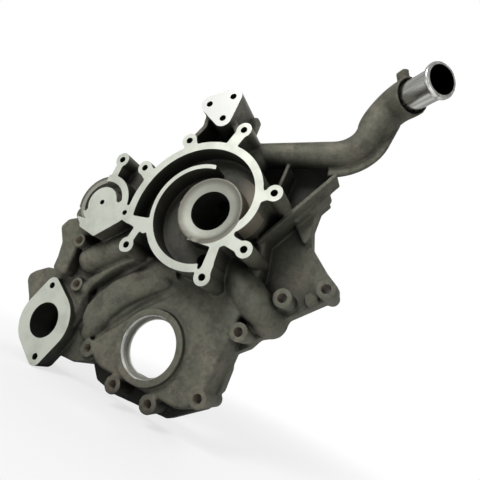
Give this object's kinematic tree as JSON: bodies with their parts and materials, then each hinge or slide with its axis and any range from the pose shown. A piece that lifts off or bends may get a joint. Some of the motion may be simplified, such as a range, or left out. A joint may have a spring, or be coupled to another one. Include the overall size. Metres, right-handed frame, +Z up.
{
  "type": "timing cover",
  "caption": "Cast front cover of an engine's timing chain, with crank seal bore, coolant pump scroll, bypass chamber, thermostat flange, bracket pad and a suction neck with hose nipple",
  "frame": {"origin": "Centre of the crank seal bore in the front face of its boss", "axes": "-Y is the front, where the crank seal bore opens; +Y runs into the engine; +X is to the right seen from the front; +Z is up, square to the sump rail"},
  "size_m": [0.3725, 0.0971, 0.3801],
  "materials": {
    "cast_body": "as cast, with machined faces",
    "bright_tube": "bright drawn tube",
    "pressed_steel": "pressed cup",
    "dowel_steel": "ground"
  },
  "bodies": {
    "root": {"cover_casting": "cast_body", "hose_nipple": "bright_tube", "eye_core_plug": "pressed_steel", "dowel_sleeve_left": "dowel_steel", "dowel_sleeve_right": "dowel_steel"}
  },
  "joints": []
}
